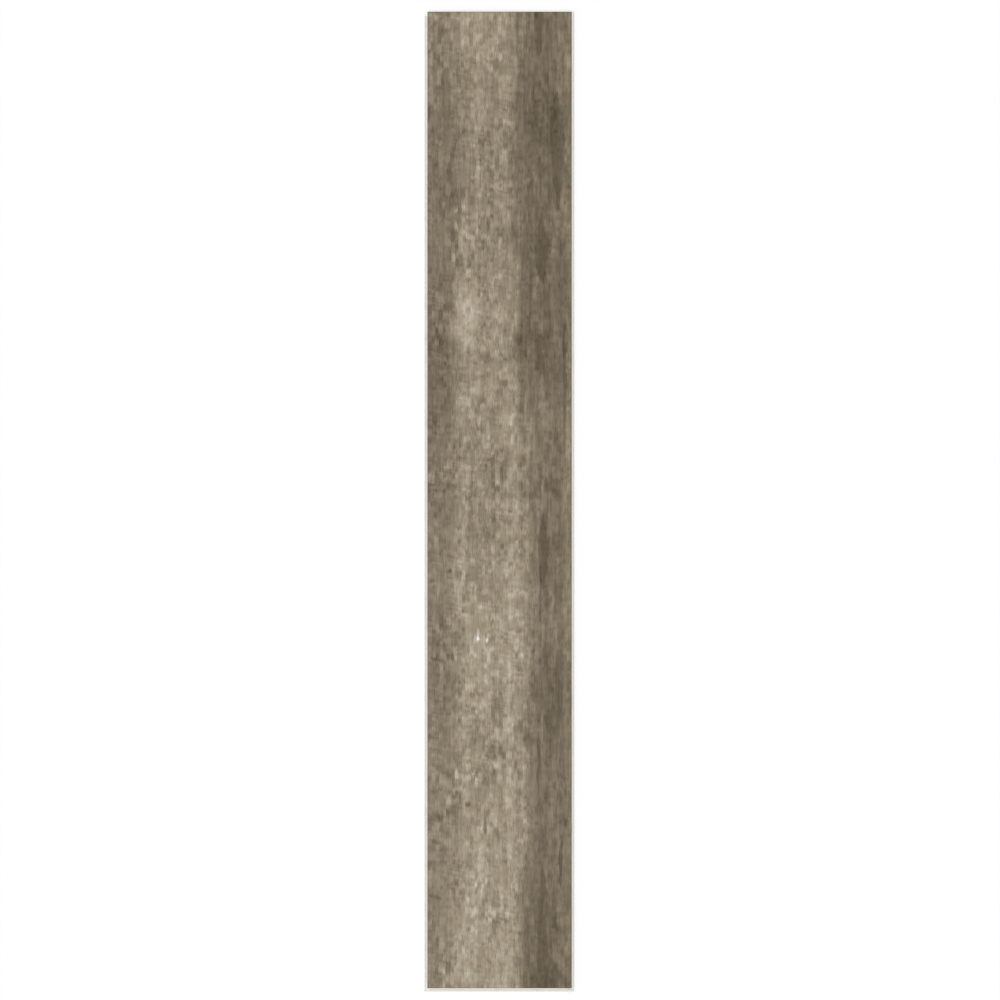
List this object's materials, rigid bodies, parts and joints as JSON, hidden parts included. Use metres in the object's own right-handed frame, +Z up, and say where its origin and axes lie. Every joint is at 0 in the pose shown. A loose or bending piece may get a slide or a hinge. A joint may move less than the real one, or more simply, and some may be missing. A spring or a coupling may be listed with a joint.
{
  "type": "rigid core vinyl plank",
  "caption": "Rigid core vinyl floor plank with a printed wood-grain face, pressed edge bevels, tongue-and-groove locking long edges and drop-locking short ends.",
  "frame": {"origin": "on the underside, below the middle of the face", "axes": "+X across the width towards the tongue edge, +Y along the length towards the hook end, +Z up out of the face"},
  "size_m": [0.186, 1.2249, 0.005],
  "materials": {
    "printed_vinyl": "matte"
  },
  "bodies": {
    "root": {"plank": "printed_vinyl"}
  },
  "joints": []
}
